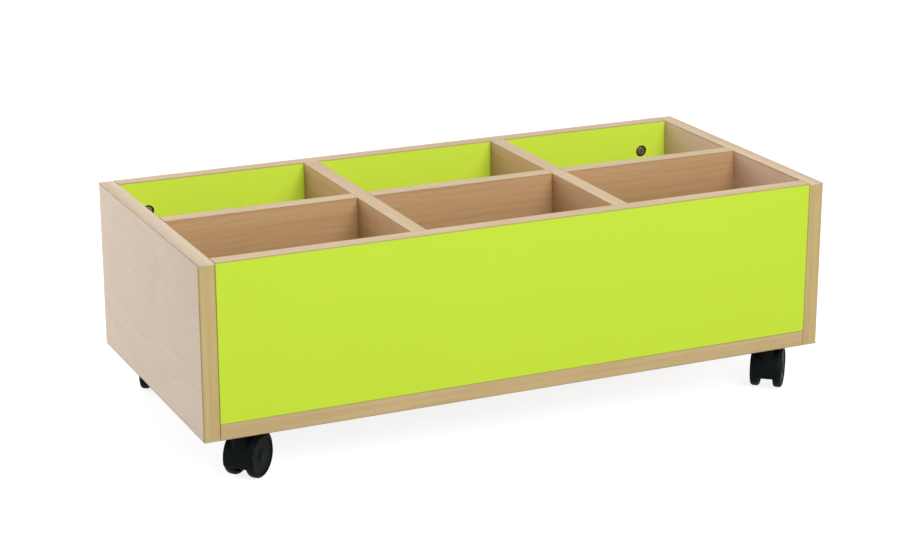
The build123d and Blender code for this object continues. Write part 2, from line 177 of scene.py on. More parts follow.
class Bench:
    """A node tree, and the one way to put a node on it."""

    def __init__(self, tree):
        self.tree = tree

    def add(self, kind, settings=None, sockets=None):
        node = self.tree.nodes.new(kind)
        for name, value in (settings or {}).items():
            if name == "stops":
                self.set_stops(node.color_ramp.elements, value)
            elif name == "items":
                while len(node.index_switch_items) < value:
                    node.index_switch_items.new()
            else:
                setattr(node, name, value)
        for name, value in (sockets or {}).items():
            if isinstance(value, (Wire, list)):
                for wire in value if isinstance(value, list) else [value]:
                    self.tree.links.new(wire.socket, node.inputs[name])
            else:
                node.inputs[name].default_value = value
        free = [socket for socket in node.outputs if socket.enabled]
        return Wire(self, node, free[0] if free else None)

    @staticmethod
    def set_stops(elements, stops):
        """Gives a ramp its stops, as (place, brightness) pairs."""
        while len(elements) < len(stops):
            elements.new(0.5)
        for element, (place, value) in zip(elements, stops):
            element.position = place
            element.color = (value, value, value, 1.0)

    def math(self, operation, *values):
        return self.add("ShaderNodeMath", {"operation": operation}, dict(enumerate(values)))

    def ramp(self, value, *stops):
        return self.add("ShaderNodeValToRGB", {"stops": stops}, {"Fac": value})

    def mix(self, share, first, second, way="MIX"):
        """Mixes two colours; share is 0 for the first."""
        settings = {"data_type": "RGBA", "blend_type": way, "clamp_factor": True}
        return self.add("ShaderNodeMix", settings, {0: share, 6: first, 7: second})

    def noise(self, place, scale, detail=2.0, roughness=0.5):
        sockets = {"Vector": place, "Scale": scale, "Detail": detail, "Roughness": roughness}
        return self.add("ShaderNodeTexNoise", None, sockets)

    def stretch(self, place, scale, shift=(0.0, 0.0, 0.0), turn=(0.0, 0.0, 0.0)):
        sockets = {"Vector": place, "Scale": scale, "Location": shift, "Rotation": turn}
        return self.add("ShaderNodeMapping", None, sockets)

    def seen_white(self):
        """1 for the rays that should find the studio white: the camera's, mirrored and refracted ones."""
        path = self.add("ShaderNodeLightPath")
        seen = self.math("MAXIMUM", path["Is Camera Ray"], path["Is Glossy Ray"])
        return self.math("MAXIMUM", seen, path["Is Transmission Ray"])

    def near(self, distance, reach):
        """1 at no distance, falling evenly to 0 at the reach."""
        return self.math("MAXIMUM", 1.0 - abs(distance) / reach, 0.0)

    def parts(self, place):
        return self.add("ShaderNodeSeparateXYZ", None, {"Vector": place})

    def whole(self, x=0.0, y=0.0, z=0.0):
        return self.add("ShaderNodeCombineXYZ", None, {"X": x, "Y": y, "Z": z})


def tint(red, green, blue):
    """A colour as a paint chart gives it, 0 to 255, made linear for the shaders."""
    def linear(value):
        share = value / 255
        return share / 12.92 if share <= 0.04045 else ((share + 0.055) / 1.055) ** 2.4
    return (linear(red), linear(green), linear(blue), 1.0)


print("bench ready; a mid grey of 128 is", round(tint(128, 128, 128)[0], 3), "in linear light")

# %% [markdown]
# ## Light
# Four large soft boxes, one to each side of the bin, a weak one above it and an even white room. Their powers
# are balanced so that a colour on the front panel renders about as it is written. The front soft box
# hangs high, and so it reaches over the front panel and lights the inside of the rear one; the room
# and the lamp above fill in the depth of the compartments. The left one stands towards the rear, which makes
# the end panel paler there. The rear and right ones are for the views from those sides.

# %% Room and floor
ROOM_LIGHT = 0.25
FLOOR_HALF = 30.0
FLOOR_PAINT = 0.3
FLOOR_GLOW = (0.85, 0.93)     # near the bin and far from it
GLOW_START = 0.25             # where the glow begins to rise, as a share of its reach
GLOW_REACH = 4.0

world = bpy.data.worlds.new("studio_room")
bpy.context.scene.world = world
world.use_nodes = True
world.node_tree.nodes.clear()
room = Bench(world.node_tree)
strength = ROOM_LIGHT + (1.0 - ROOM_LIGHT) * room.seen_white()
background = room.add("ShaderNodeBackground", None, {"Color": (1.0, 1.0, 1.0, 1.0), "Strength": strength})
room.add("ShaderNodeOutputWorld", None, {"Surface": background})

floor_mesh = bpy.data.meshes.new("studio_floor")
corners = [(-1, -1), (1, -1), (1, 1), (-1, 1)]
floor_mesh.from_pydata([(x * FLOOR_HALF, y * FLOOR_HALF, 0.0) for x, y in corners], [], [(0, 1, 2, 3)])
floor = bpy.data.objects.new("studio_floor", floor_mesh)
bpy.context.scene.collection.objects.link(floor)
floor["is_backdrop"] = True

paint = bpy.data.materials.new("studio_floor")
paint.use_nodes = True
paint.node_tree.nodes.clear()
bench = Bench(paint.node_tree)
matt = bench.add("ShaderNodeBsdfDiffuse", None, {"Color": (FLOOR_PAINT, FLOOR_PAINT, FLOOR_PAINT, 1.0)})
spot = bench.parts(bench.add("ShaderNodeTexCoord")["Object"])
reach = (spot["X"] * spot["X"] + spot["Y"] * spot["Y"]) ** 0.5 / GLOW_REACH
near, far = FLOOR_GLOW
light = near + bench.ramp(reach, (GLOW_START, 0.0), (1.0, 1.0)) * (far - near)
glow = bench.add("ShaderNodeEmission", None, {"Strength": light * bench.seen_white()})
lit = bench.add("ShaderNodeAddShader", None, {0: matt, 1: glow})
clear = bench.add("ShaderNodeBsdfTransparent")
below = bench.add("ShaderNodeNewGeometry")["Backfacing"]
both = bench.add("ShaderNodeMixShader", None, {"Fac": below, 1: lit, 2: clear})
bench.add("ShaderNodeOutputMaterial", None, {"Surface": both})
floor.data.materials.append(paint)
print("floor", 2 * FLOOR_HALF, "m wide")

# %% Soft boxes
def soft_box(name, place, aim, width, power):
    """A square area light at a place, turned to a point on the bin."""
    lamp = bpy.data.lights.new(name, "AREA")
    lamp.shape = "SQUARE"
    lamp.size = width
    lamp.energy = power
    box = bpy.data.objects.new(name, lamp)
    bpy.context.scene.collection.objects.link(box)
    place = Vector(place)
    turn = (Vector(aim) - place).to_track_quat("-Z", "Y").to_matrix().to_4x4()
    box.matrix_world = Matrix.Translation(place) @ turn
    return box


MIDDLE = (0.0, 0.0, 0.15)
SOFT_BOXES = {                     # place, width and power in watts
    "over": ((0.0, 0.0, 2.6), 1.6, 4.0),
    "left": ((-2.0, 0.9, 1.1), 1.4, 23.5),
    "front": ((0.2, -2.8, 2.2), 2.0, 103.0),
    "rear": ((-0.9, 2.8, 0.9), 1.6, 38.0),
    "right": ((2.4, 0.2, 0.9), 1.4, 22.0),
}
for side, (place, width, power) in SOFT_BOXES.items():
    soft_box("softbox_" + side, place, MIDDLE, width, power)

# %% [markdown]
# ## Beech decor
# The boards are particle board faced with a printed beech decor. Beech has little contrast: long fine
# streaks along the grain, the faint nested arches of flat-sawn growth rings, and short dark flecks, the cut
# ends of the rays. The recipe saws a board out of an imagined log. A Mapping node turns object coordinates
# into grain coordinates, X along the grain, Y into the board and Z across it. The rings are the distance to
# the log's pith, which wanders along the board, and the rest is noise stretched along X. A hairline along
# every joint is darkened, by dust and glue and in part by painted shade.
#
# A real bin has one decor throughout. Here each board has its own tone, set for this light, and the tones
# paint in light and shade: the end panels are the palest and the quietest, and darker and rosier inside than
# outside, which is painted shade; the dividers are warm and darker, painted shade as well; and the bottom
# board is lighter, painted light, because the empty compartments are dim. The dividers are also mixed towards
# brown with depth below the rim. That is shade painted into the colour and no figure of the wood: `shade` in
# BOARDS is its share, and without it there is none.

# %% A finish with its output
def new_finish(name):
    """An empty material and the bench for its tree."""
    material = bpy.data.materials.new(name)
    material.use_nodes = True
    material.node_tree.nodes.clear()
    return material, Bench(material.node_tree)


def close_finish(bench, color, roughness, normal=None, **constants):
    """Principled shader and output; constants are set on the shader's own sockets."""
    sockets = {"Base Color": color, "Roughness": roughness}
    if normal:
        sockets["Normal"] = normal
    sockets.update({name.replace("_", " "): value for name, value in constants.items()})
    shader = bench.add("ShaderNodeBsdfPrincipled", None, sockets)
    bench.add("ShaderNodeOutputMaterial", None, {"Surface": shader})


def bump(bench, height, distance, strength=1.0):
    return bench.add("ShaderNodeBump", None, {"Height": height, "Distance": distance, "Strength": strength})


# %% Beech boards
GRAIN_TURNS = {
    "X": (0.0, 0.0, 0.0),                       # upright boards along the bin
    "Y": (0.0, 0.0, -math.pi / 2),              # upright boards across the bin
    "flat": (math.pi / 2, 0.0, 0.0),            # the bottom board
    "Z": (0.0, math.pi / 2, 0.0),               # upright edge bands
}
# the rosy and warm tones are darker, painted shade inside the compartments; the light tone is painted light
BEECH_TONES = {
    "pale": (tint(228, 208, 187), tint(212, 189, 165)),
    "rosy": (tint(219, 188, 167), tint(202, 168, 146)),
    "warm": (tint(202, 163, 125), tint(180, 139, 101)),
    "light": (tint(224, 194, 156), tint(207, 173, 131)),
}
BEECH_FLECK = tint(158, 122, 90)
JOINT_BROWN = tint(112, 84, 52)
SHADE_BROWN = tint(132, 96, 62)
RING_WIDTH = 7.0 * MM
RING_RAGGED = 0.012           # how far noise pushes a ring to and fro
PITH_DEPTH = 0.046            # how far the pith lies behind the face
PITH_WANDER = 0.16            # how far it strays along the board
JOINT_REACH = 1.1 * MM
JOINT_SHARE = 0.3
FRAMED_JOINT_SHARE = 0.1      # beside the thick bands of an end panel
SHADE_FROM, SHADE_TO = 0.05, 0.4    # of the depth from the rim to the floor


def beech_grain(bench, place, tones, rings, contrast):
    """Colour and height of beech in grain coordinates; rings and contrast set how strongly it is figured."""
    parts = bench.parts(place)
    deep, across = parts["Y"], parts["Z"]
    wander = (bench.noise(bench.stretch(place, (2.2, 0.0, 0.0)), 1.0, 1.0) - 0.5) * PITH_WANDER
    rough = bench.noise(bench.stretch(place, (5.0, 14.0, 26.0)), 1.0, 3.0)
    ring_x = across + wander
    ring_y = deep + PITH_DEPTH + wander * 0.5
    pith = (ring_x * ring_x + ring_y * ring_y) ** 0.5 + (rough - 0.5) * RING_RAGGED
    ring = bench.math("FRACT", pith / RING_WIDTH)
    arches = bench.ramp(ring, (0.0, 0.0), (0.5, 0.2), (0.82, 1.0), (1.0, 0.0))
    streaks = bench.noise(bench.stretch(place, (3.0, 190.0, 190.0)), 1.0, 4.0, 0.62)
    fibres = bench.noise(bench.stretch(place, (14.0, 1300.0, 1300.0)), 1.0, 2.0)
    flecks = bench.noise(bench.stretch(place, (150.0, 1500.0, 1500.0)), 1.0, 0.0)
    fleck = bench.ramp(flecks, (0.64, 0.0), (0.74, 1.0))
    cloud = bench.noise(bench.stretch(place, (1.5, 7.0, 7.0)), 1.0, 2.0)
    fine = (streaks - 0.5) * 1.5 + (fibres - 0.5) * 0.3
    shade = arches * rings + fine * contrast + (cloud - 0.5) * 0.7 + 0.4
    wood = bench.mix(shade, *tones)
    color = bench.mix(fleck * 0.3 * contrast, wood, BEECH_FLECK)
    return color, fibres * 0.4 + fleck * -0.6 + streaks * 0.2


def shade_joints(bench, color, distances, share=JOINT_SHARE):
    """Darkens towards joints (dust, glue and in part painted shade); each distance is from one joint."""
    line = 0.0
    for distance in distances:
        line = bench.math("MAXIMUM", line, bench.near(distance, JOINT_REACH))
    return bench.mix(line * share, color, JOINT_BROWN)


def beech_board(name, turn, shift, tone, rings, shade=0.0, contrast=1.0, framed=False):
    """A board's finish; framed is for an end panel, which has thick bands on all four edges."""
    material, bench = new_finish(name)
    place = bench.add("ShaderNodeTexCoord")["Object"]
    grain = bench.stretch(place, (1.0, 1.0, 1.0), shift, GRAIN_TURNS[turn])
    where = bench.parts(place)
    tones = BEECH_TONES[tone]
    if framed:
        # an end panel's inner faces take the darker rosy tone: painted shade
        inside = abs(where["X"]) < (INNER_X + HALF_LENGTH) / 2
        tones = [bench.mix(inside, outer, inner) for outer, inner in zip(tones, BEECH_TONES["rosy"])]
    color, relief = beech_grain(bench, grain, tones, rings, contrast)
    if framed:
        joints = [where["Z"] - (RIM - BAND), where["Z"] - (UNDERSIDE + BAND)]
        joints.append(abs(where["Y"]) - (HALF_DEPTH - BAND))
        color = shade_joints(bench, color, joints, FRAMED_JOINT_SHARE)
    else:
        depth = (RIM - where["Z"]) / (RIM - FLOOR_TOP)
        shaded = bench.ramp(depth, (SHADE_FROM, 0.0), (SHADE_TO, 1.0))
        color = bench.mix(shaded * shade, color, SHADE_BROWN)
        color = shade_joints(bench, color, [where["Z"] - (RIM - THIN_BAND)])
    close_finish(bench, color, 0.46 + relief * 0.06, bump(bench, relief, 0.04 * MM))
    return material


END = {"turn": "Y", "tone": "pale", "rings": 0.22, "framed": True}
CROSS = {"turn": "Y", "tone": "warm", "rings": 0.2, "shade": 0.15}
BOARDS = {
    "left_end_panel": {**END, "shift": (0.13, 0.30, -0.19), "contrast": 0.55},
    "right_end_panel": {**END, "shift": (0.71, -0.42, -0.12), "contrast": 0.6},
    "bottom_board": {"turn": "flat", "shift": (0.05, 0.02, 0.03), "tone": "light", "rings": 0.3},
    "long_divider": {"turn": "X", "shift": (0.40, 0.02, -0.16), "tone": "warm", "rings": 0.22, "shade": 0.55},
    "cross_divider_left": {**CROSS, "shift": (0.93, 0.13, -0.18)},
    "cross_divider_right": {**CROSS, "shift": (1.37, -0.10, -0.14)},
}


def dress(node, material):
    """Gives a frame node its finish."""
    slots = nodes[node].material_slots
    for slot in slots:
        slot.material = material
    if not slots:
        nodes[node].data.materials.append(material)


for node, cut in BOARDS.items():
    dress(node, beech_board("beech_" + node, **cut))
print("beech boards:", len(BOARDS))

# %% [markdown]
# ## Edge bands
# A band of beech-printed plastic covers each visible edge. Its print is plainer than the face's: straight
# streaks that follow the band. Along its two arrises the colour turns darker: the scraper has cut through the
# print to the darker plastic, and in part it is painted shade. The bands' tones are set one by one for this
# light, like the boards', and an end panel's bands also lean towards that brown from their inner to their outer
# side, which is painted shade and no wear. The four bands of an end panel share one node, so the recipe asks
# where a point lies and turns the grain upright for the front and the rear band. How far a point is from an
# arris is worked out from the node's own box, so each band has its own material.

# %% Beech bands
BAND_TONES = {
    "rim": (tint(210, 189, 158), tint(187, 160, 122)),
    "pale rim": (tint(217, 199, 177), tint(196, 175, 147)),
    "rosy rim": (tint(219, 196, 170), tint(195, 167, 133)),
    "front": (tint(206, 184, 131), tint(183, 156, 98)),
    "sill": (tint(208, 183, 137), tint(187, 159, 110)),
}
# brown of the arrises, partly painted shade, and of the end bands' lean, which is painted shade
ARRIS_BROWN = tint(150, 120, 86)
ARRIS_REACH = 1.6 * MM
ARRIS_SHARE = 0.6
END_ARRIS_SHARE = 0.5         # on the bands of the end panels
LEAN_START, LEAN_SHARE = 0.3, 0.35


def band_print(bench, place, turn, tone):
    place = bench.stretch(place, (1.0, 1.0, 1.0), (0.0, 0.0, 0.0), GRAIN_TURNS[turn])
    streaks = bench.noise(bench.stretch(place, (5.0, 380.0, 380.0)), 1.0, 4.0, 0.65)
    cloud = bench.noise(bench.stretch(place, (9.0, 40.0, 40.0)), 1.0, 1.0)
    flecks = bench.noise(bench.stretch(place, (200.0, 1800.0, 1800.0)), 1.0, 0.0)
    fleck = bench.ramp(flecks, (0.66, 0.0), (0.75, 1.0))
    shade = (streaks - 0.5) * 1.5 + (cloud - 0.5) * 0.7 + 0.45
    return bench.mix(fleck * 0.3, bench.mix(shade, *BAND_TONES[tone]), BEECH_FLECK)


def beech_band(node, turn, side, tone, face_tone=None):
    """A band's finish; side is the axis across the band, on which its two arrises lie."""
    material, bench = new_finish("beech_" + node)
    place = bench.add("ShaderNodeTexCoord")["Object"]
    color = band_print(bench, place, turn, tone)
    where = bench.parts(place)
    joints = [where["Z"] - FLOOR_TOP, abs(where["X"]) - INNER_X]
    if face_tone:
        at_face = abs(where["Y"]) > HALF_DEPTH - BAND
        level = (where["Z"] > UNDERSIDE + BAND) * (where["Z"] < RIM - BAND)
        across = (abs(where["X"]) - INNER_X) / (HALF_LENGTH - INNER_X)
        # the end bands darken outwards towards ARRIS_BROWN: painted shade
        color = bench.mix(bench.ramp(across, (LEAN_START, 0.0), (1.0, LEAN_SHARE)), color, ARRIS_BROWN)
        color = bench.mix(at_face * level, color, band_print(bench, place, "Z", face_tone))
        joints = [abs(where["X"]) - INNER_X]
    low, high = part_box(node)
    middle = (getattr(low, side.lower()) + getattr(high, side.lower())) / 2
    half = (getattr(high, side.lower()) - getattr(low, side.lower())) / 2
    # the arrises darken towards ARRIS_BROWN: darker plastic where the print is cut, and in part painted shade
    arris = bench.near(abs(where[side] - middle) - half, ARRIS_REACH)
    color = bench.mix(arris * (END_ARRIS_SHARE if face_tone else ARRIS_SHARE), color, ARRIS_BROWN)
    color = shade_joints(bench, color, joints)
    rub = bench.ramp(bench.noise(place, 55.0, 3.0), (0.45, 0.0), (0.7, 1.0))
    close_finish(bench, color, 0.52 + rub * 0.12, Specular_IOR_Level=0.3)
    return material


BAND_CUTS = {
    "left_end_bands": ("Y", "X", "pale rim", "front"),
    "right_end_bands": ("Y", "X", "rosy rim", "front"),
    "bottom_board_bands": ("X", "Z", "sill"),
    "front_panel_band": ("X", "Y", "rim"),
    "rear_panel_band": ("X", "Y", "rim"),
    "long_divider_bands": ("X", "Y", "rim"),
    "cross_divider_left_band": ("Y", "X", "rim"),
    "cross_divider_right_band": ("Y", "X", "rim"),
}
for node, cut in BAND_CUTS.items():
    dress(node, beech_band(node, *cut))
print("bands:", len(BAND_CUTS))

# %% [markdown]
# ## Lime decor
# The front and rear panels carry a plain lime decor: an even colour with the fine pearl texture that a press
# plate leaves in melamine. The texture is far too fine to see as a shape, but it softens the reflections. The
# rear panel's lime is written lighter than the front panel's, to make up for the shade on its inner face.

# %% Lime
def lime_laminate(name, lime, lime_deep):
    material, bench = new_finish(name)
    place = bench.add("ShaderNodeTexCoord")["Object"]
    pearl = bench.noise(place, 900.0, 2.0)
    cloud = bench.noise(place, 5.0, 2.0)
    color = bench.mix(cloud, lime, lime_deep)
    where = bench.parts(place)
    joints = [where["Z"] - (RIM - THIN_BAND), where["Z"] - FLOOR_TOP, abs(where["X"]) - INNER_X]
    color = shade_joints(bench, color, joints)
    close_finish(bench, color, 0.38 + pearl * 0.1, bump(bench, pearl, 0.05 * MM))
    return material


LIMES = {
    "front_panel": (tint(199, 229, 50), tint(195, 225, 44)),
    "rear_panel": (tint(210, 243, 70), tint(206, 239, 64)),
}
for node, tones in LIMES.items():
    dress(node, lime_laminate("lime_" + node, *tones))

# %% [markdown]
# ## Plastic and metal
# The casters are black glass-filled nylon: nearly black, a fine spark-eroded texture from the mould, a little
# paler and duller where the treads have picked up dust. Plates are black-coated steel. Screws, kingpins and
# cams are zinc: bright, but with a cloudy, uneven passivation.

# %% Nylon, steel and zinc
FROM_AXIS = "from_axis"
TREAD = 23.0 * MM          # outside this radius a wheel rolls on the floor
# the dark colour outside the boss is painted shade in the lowered ring
CAM_BOSS = 5.1 * MM        # outside this radius a cam's face is lowered and dark


def moulded_plastic(name, tints, dust_tint, dust, gloss, tread_dust=0.0):
    """A moulded plastic: spark texture, slow clouds, and dust rubbed into it by a share."""
    material, bench = new_finish(name)
    place = bench.add("ShaderNodeTexCoord")["Object"]
    if tread_dust:
        radius = bench.add("ShaderNodeAttribute", {"attribute_name": FROM_AXIS})["Fac"]
        dust = dust + (radius > TREAD) * tread_dust
    spark = bench.noise(place, 2600.0, 1.0)
    cloud = bench.noise(place, 60.0, 3.0)
    scuff = bench.noise(bench.stretch(place, (400.0, 400.0, 90.0)), 1.0, 3.0)
    worn = bench.ramp(scuff, (0.5, 0.0), (0.75, 1.0)) * dust
    color = bench.mix(worn, bench.mix(cloud, *tints), dust_tint)
    rough = 0.48 + cloud * 0.12 + worn * 0.3
    close_finish(bench, color, rough, bump(bench, spark, 0.03 * MM), Specular_IOR_Level=gloss)
    return material


def metal(name, light, dark, roughness, cloud_scale, ring=None):
    """A cloudy metal; ring is the colour outside a cam's boss, painted shade in its lowered ring."""
    material, bench = new_finish(name)
    place = bench.add("ShaderNodeTexCoord")["Object"]
    cloud = bench.noise(place, cloud_scale, 3.0)
    color = bench.mix(bench.ramp(cloud, (0.3, 0.0), (0.7, 1.0)), light, dark)
    if ring:
        radius = bench.add("ShaderNodeAttribute", {"attribute_name": FROM_AXIS})["Fac"]
        color = bench.mix(radius > CAM_BOSS + 0.1 * MM, color, ring)
    close_finish(bench, color, roughness + (cloud - 0.5) * 0.25, Metallic=1.0)
    return material


BLACKS = (tint(7, 13, 11), tint(16, 23, 20))
WHITES = (tint(226, 225, 217), tint(214, 213, 203))
DUST = tint(84, 86, 80)
hood_nylon = moulded_plastic("black_nylon_hood", BLACKS, DUST, 0.03, 0.05)
wheel_nylon = moulded_plastic("black_nylon_wheel", BLACKS, DUST, 0.02, 0.05, 0.14)
washer_plastic = moulded_plastic("white_washer_plastic", WHITES, DUST, 0.1, 0.4)
coated_steel = moulded_plastic("black_coated_steel", BLACKS, DUST, 0.1, 0.4)
zinc = metal("bright_zinc", tint(196, 199, 202), tint(158, 162, 168), 0.34, 300.0)
cam_zinc = metal("cam_zinc", tint(172, 154, 140), tint(126, 110, 98), 0.5, 700.0, tint(70, 62, 40))
dowel_beech = beech_board("dowel_beech", "X", (0.2, 0.1, 0.3), "warm", 0.1)

FINISHES = {
    "cam_housings": cam_zinc, "cam_bolts": zinc, "dowels": dowel_beech,
    "assembly_screws": zinc, "caster_screws": zinc,
}
for caster in CASTERS:
    piece = "caster_" + caster + "_"
    FINISHES.update({
        piece + "plate": coated_steel, piece + "kingpin": zinc, piece + "washer": washer_plastic,
        piece + "hood": hood_nylon, piece + "axle": zinc,
        piece + "wheel_left": wheel_nylon, piece + "wheel_right": wheel_nylon,
    })
for node, material in FINISHES.items():
    dress(node, material)
print("finished nodes:", len(FINISHES) + len(BOARDS) + len(BAND_CUTS) + 2)

# %% [markdown]
# ## Geometry recipes
# A caster wheel, a screw and a cam are all turned on a lathe, in the mould maker's shop at least. So one helper
# does the turning in Geometry Nodes: it lays out a profile as a polyline of (radius, height) corners, rounds
# each corner by its own radius, and sweeps the rounded profile round Z as a grid whose rows are the profile's
# points. The corners are sums of a recipe's named inputs, so a change of one size moves every corner that
# hangs on it. Booleans cut the recesses, and the result is stored as a plain mesh.

# %% Turning a profile
def new_recipe(title, sizes):
    """An empty geometry tree whose named inputs are the given sizes, each with its socket type."""
    tree = bpy.data.node_groups.new(title, "GeometryNodeTree")
    tree.interface.new_socket("Geometry", in_out="INPUT", socket_type="NodeSocketGeometry")
    tree.interface.new_socket("Geometry", in_out="OUTPUT", socket_type="NodeSocketGeometry")
    for name, kind in sizes.items():
        tree.interface.new_socket(name, in_out="INPUT", socket_type="NodeSocket" + kind)
    bench = Bench(tree)
    return bench, bench.add("NodeGroupInput")


def pick(bench, kind, index, values):
    """The value whose number in the list is the index."""
    sockets = {"Index": index, **{str(number): value for number, value in enumerate(values)}}
    return bench.add("GeometryNodeIndexSwitch", {"data_type": kind, "items": len(values)}, sockets)


def turned(bench, corners, steps):
    """A closed body of revolution; corners are (radius, height, rounding), from the top's middle down."""
    index = bench.add("GeometryNodeInputIndex")
    places = [bench.whole(x=radius, z=height) for radius, height, _ in corners]
    roundings = [rounding for _, _, rounding in corners]
    line = bench.add("GeometryNodeCurvePrimitiveLine")
    sockets = {"Curve": line, "Count": len(corners)}
    line = bench.add("GeometryNodeResampleCurve", {"mode": "COUNT"}, sockets)
    sockets = {"Geometry": line, "Position": pick(bench, "VECTOR", index, places)}
    line = bench.add("GeometryNodeSetPosition", None, sockets)
    sockets = {"Curve": line, "Radius": pick(bench, "FLOAT", index, roundings), "Limit Radius": True}
    line = bench.add("GeometryNodeFilletCurve", {"mode": "POLY"}, {"Count": FILLET_STEPS, **sockets})
    size = bench.add("GeometryNodeAttributeDomainSize", {"component": "CURVE"}, {"Geometry": line})
    columns = steps + 1
    grid = bench.add("GeometryNodeMeshGrid", None, {"Vertices X": size["Point Count"], "Vertices Y": columns})
    row = bench.math("FLOOR", (index + 0.5) / columns)
    angle = (index - row * columns) * (2 * math.pi / steps)
    sockets = {"Geometry": line, "Value": bench.add("GeometryNodeInputPosition"), "Index": row}
    spot = bench.parts(bench.add("GeometryNodeSampleIndex", {"data_type": "FLOAT_VECTOR"}, sockets))
    x, y = spot["X"] * bench.math("COSINE", angle), spot["X"] * bench.math("SINE", angle)
    sockets = {"Geometry": grid, "Position": bench.whole(x, y, spot["Z"])}
    body = bench.add("GeometryNodeSetPosition", None, sockets)
    return bench.add("GeometryNodeMergeByDistance", None, {"Geometry": body, "Distance": WELD})


def boolean(bench, operation, first, others):
    settings = {"operation": operation, "solver": "MANIFOLD"}
    sockets = {"Mesh 2": others} if first is None else {"Mesh 1": first, "Mesh 2": others}
    return bench.add("GeometryNodeMeshBoolean", settings, sockets)


def bar(bench, x, y, z, place):
    """A block of the given sides with its middle at a place."""
    block = bench.add("GeometryNodeMeshCube", None, {"Size": bench.whole(x, y, z)})
    return bench.add("GeometryNodeTransform", None, {"Geometry": block, "Translation": place})


def mark_radius(bench, mesh):
    """Stores how far each point is from the Z axis, for a finish that changes with it."""
    spot = bench.parts(bench.add("GeometryNodeInputPosition"))
    radius = (spot["X"] * spot["X"] + spot["Y"] * spot["Y"]) ** 0.5
    sockets = {"Geometry": mesh, "Name": FROM_AXIS, "Value": radius}
    return bench.add("GeometryNodeStoreNamedAttribute", {"data_type": "FLOAT", "domain": "POINT"}, sockets)


def close_recipe(bench, mesh, material):
    """Smooth faces, crisp edges, real geometry and a finish: the end of every recipe."""
    real = bench.add("GeometryNodeRealizeInstances", None, {"Geometry": mesh})
    smooth = bench.add("GeometryNodeSetShadeSmooth", {"domain": "FACE"}, {"Geometry": real})
    crisp = bench.add("GeometryNodeInputMeshEdgeAngle") > CRISP_ANGLE
    sockets = {"Geometry": smooth, "Selection": crisp, "Shade Smooth": False}
    shaded = bench.add("GeometryNodeSetShadeSmooth", {"domain": "EDGE"}, sockets)
    done = bench.add("GeometryNodeSetMaterial", None, {"Geometry": shaded, "Material": material})
    bench.add("NodeGroupOutput", None, {"Geometry": done})
    return bench.tree


def make(name, recipe, sizes, points=None):
    """Runs a recipe, on points if it is given some, and keeps its result as a plain mesh."""
    piece = bpy.data.objects.new(name, points or bpy.data.meshes.new(name))
    bpy.context.scene.collection.objects.link(piece)
    maker = piece.modifiers.new("maker", "NODES")
    maker.node_group = recipe
    inputs = {item.name: item.identifier for item in recipe.interface.items_tree if item.in_out == "INPUT"}
    for size, value in sizes.items():
        maker[inputs[size]] = value
    graph = bpy.context.evaluated_depsgraph_get()
    plain = bpy.data.meshes.new_from_object(piece.evaluated_get(graph))
    piece.modifiers.remove(maker)
    piece.data = plain
    return piece


WHEEL_STEPS, SCREW_STEPS, CAM_STEPS = 96, 32, 48     # columns round a turned body
FILLET_STEPS = 5
CRISP_ANGLE = math.radians(32)
print("a corner is rounded in", FILLET_STEPS, "steps")

# %% [markdown]
# ## Caster wheels
# Each wheel is one nylon moulding: a tread with soft shoulders, a dished outer face with a hub boss, and
# behind it a hollow with ribs from hub to rim that keep the wall thin. The recipe turns the rounded profile,
# sets the ribs on the points of a circle as instances, each turned outwards, and joins them to the turned
# body with one boolean. Eight wheels come from it, one for each wheel body of the frame.

# %% Wheel recipe
bench, size = new_recipe("caster_wheel", {
    "Radius": "Float", "Width": "Float", "Shoulder": "Float", "Dish": "Float", "Rim": "Float",
    "Hub Radius": "Float", "Bore Radius": "Float", "Wall": "Float", "Rib": "Float", "Ribs": "Int",
    "Softness": "Float", "Nylon": "Material",
})
half, hub, soft = size["Width"] / 2, size["Hub Radius"], size["Softness"]
inner_rim = size["Radius"] - size["Rim"]
face = half - size["Dish"]
back = face - size["Wall"]
bore_end = half - size["Wall"]
body = turned(bench, [
    (0.0, half, 0.0), (hub, half, soft), (hub, face, soft), (inner_rim, face, soft), (inner_rim, half, soft),
    (size["Radius"], half, size["Shoulder"]), (size["Radius"], -half, size["Shoulder"]),
    (inner_rim, -half, soft), (inner_rim, back, soft), (hub, back, soft), (hub, -half, soft),
    (size["Bore Radius"], -half, 0.0), (size["Bore Radius"], bore_end, 0.0), (0.0, bore_end, 0.0),
], WHEEL_STEPS)
RIB_SINK = 0.6 * MM        # how far a rib reaches into the hub, the rim and the wall
rib_low = 2 * RIB_SINK - half
rib_length = inner_rim - hub + 2 * RIB_SINK
rib = bar(bench, rib_length, size["Rib"], back + RIB_SINK - rib_low,
          bench.whole(z=(back + RIB_SINK + rib_low) / 2))
ring = bench.add("GeometryNodeMeshCircle", None, {"Vertices": size["Ribs"], "Radius": (inner_rim + hub) / 2})
outwards = {"Primary Axis": bench.add("GeometryNodeInputPosition"), "Secondary Axis": (0.0, 0.0, 1.0)}
turn = bench.add("FunctionNodeAxesToRotation", {"primary_axis": "X", "secondary_axis": "Z"}, outwards)
ribs = bench.add("GeometryNodeInstanceOnPoints", None, {"Points": ring, "Instance": rib, "Rotation": turn})
ribs = bench.add("GeometryNodeRealizeInstances", None, {"Geometry": ribs})
wheel = mark_radius(bench, boolean(bench, "UNION", None, [body, ribs]))
wheel_recipe = close_recipe(bench, wheel, size["Nylon"])

